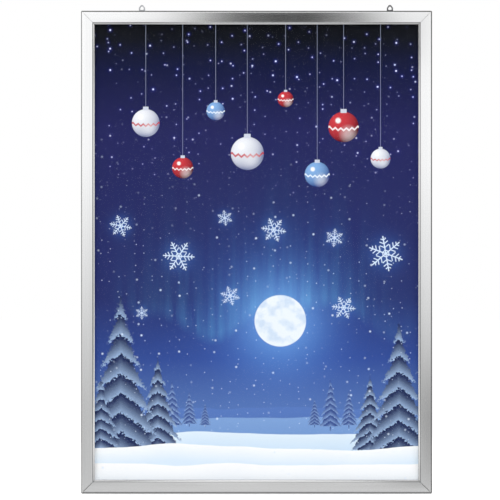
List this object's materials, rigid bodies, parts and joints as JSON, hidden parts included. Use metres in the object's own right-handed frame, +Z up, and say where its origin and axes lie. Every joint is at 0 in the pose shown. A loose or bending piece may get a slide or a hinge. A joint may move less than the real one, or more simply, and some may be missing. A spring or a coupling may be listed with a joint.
{
  "type": "snap frame light box",
  "caption": "Slim edge-lit poster frame: mitred aluminium rails that snap open on hinges, a light panel behind a clear cover, sliding hanging eyes and a power inlet.",
  "frame": {"origin": "centre of the top base rail's rear foot, on the wall plane", "axes": "+X to the viewer's right, +Y into the wall, +Z up; the front faces -Y"},
  "size_m": [0.532, 0.0237, 0.7415],
  "materials": {
    "anodised_aluminium": "satin silver anodised",
    "mill_aluminium": "mill finish",
    "zinc_steel": "zinc plated",
    "spring_steel": "oiled spring steel",
    "brass_pin": "nickel-free brass",
    "black_plastic": "moulded black",
    "back_sheet": "fine textured grey sheet",
    "white_sheet": "matt white film",
    "guide_acrylic": "clear acrylic with engraved dots",
    "poster_print": "backlit print film",
    "clear_cover": "clear anti-glare sheet",
    "led_board": "white circuit board",
    "red_wire": "red insulation",
    "black_wire": "black insulation"
  },
  "bodies": {
    "frame": {"base_rail_top": "anodised_aluminium", "base_rail_bottom": "anodised_aluminium", "base_rail_left": "anodised_aluminium", "base_rail_right": "anodised_aluminium", "spring_clip_top_1": "spring_steel", "spring_clip_top_2": "spring_steel", "spring_clip_bottom_1": "spring_steel", "spring_clip_bottom_2": "spring_steel", "spring_clip_left_1": "spring_steel", "spring_clip_left_2": "spring_steel", "spring_clip_left_3": "spring_steel", "spring_clip_right_1": "spring_steel", "spring_clip_right_2": "spring_steel", "spring_clip_right_3": "spring_steel", "corner_cleat_top_left": "mill_aluminium", "corner_cleat_top_right": "mill_aluminium", "corner_cleat_bottom_left": "mill_aluminium", "corner_cleat_bottom_right": "mill_aluminium", "cleat_screw_top_left_1": "zinc_steel", "cleat_screw_top_left_2": "zinc_steel", "cleat_screw_top_right_1": "zinc_steel", "cleat_screw_top_right_2": "zinc_steel", "cleat_screw_bottom_left_1": "zinc_steel", "cleat_screw_bottom_left_2": "zinc_steel", "cleat_screw_bottom_right_1": "zinc_steel", "cleat_screw_bottom_right_2": "zinc_steel", "back_panel": "back_sheet", "reflector_sheet": "white_sheet", "light_guide": "guide_acrylic", "diffuser_sheet": "white_sheet", "poster_sheet": "poster_print", "cover_sheet": "clear_cover", "led_strip_top": "led_board", "led_strip_bottom": "led_board", "dc_jack": "black_plastic", "dc_jack_pin": "brass_pin", "supply_wire_red": "red_wire", "supply_wire_black": "black_wire", "link_wire_red": "red_wire", "link_wire_black": "black_wire"},
    "snap_top": {"snap_rail_top": "anodised_aluminium"},
    "snap_bottom": {"snap_rail_bottom": "anodised_aluminium"},
    "snap_left": {"snap_rail_left": "anodised_aluminium"},
    "snap_right": {"snap_rail_right": "anodised_aluminium"},
    "left_hanger": {"hanger_left": "zinc_steel", "hanger_screw_left": "zinc_steel", "hanger_nut_left": "zinc_steel"},
    "right_hanger": {"hanger_right": "zinc_steel", "hanger_screw_right": "zinc_steel", "hanger_nut_right": "zinc_steel"}
  },
  "joints": [
    {"name": "snap_top_hinge", "type": "hinge", "parent": "frame", "child": "snap_top", "pos_m": [0, -0.0195, 0.0094], "axis": [-1, 0, 0], "range_deg": [0, 90]},
    {"name": "snap_bottom_hinge", "type": "hinge", "parent": "frame", "child": "snap_bottom", "pos_m": [0, -0.0195, -0.7162], "axis": [1, 0, 0], "range_deg": [0, 90]},
    {"name": "snap_left_hinge", "type": "hinge", "parent": "frame", "child": "snap_left", "pos_m": [-0.2628, -0.0195, -0.3534], "axis": [0, 0, -1], "range_deg": [0, 90]},
    {"name": "snap_right_hinge", "type": "hinge", "parent": "frame", "child": "snap_right", "pos_m": [0.2628, -0.0195, -0.3534], "axis": [0, 0, 1], "range_deg": [0, 90]},
    {"name": "left_hanger_slide", "type": "slide", "parent": "frame", "child": "left_hanger", "axis": [1, 0, 0], "range_m": [-0.038, 0.15]},
    {"name": "right_hanger_slide", "type": "slide", "parent": "frame", "child": "right_hanger", "axis": [1, 0, 0], "range_m": [-0.18, 0.01]}
  ]
}
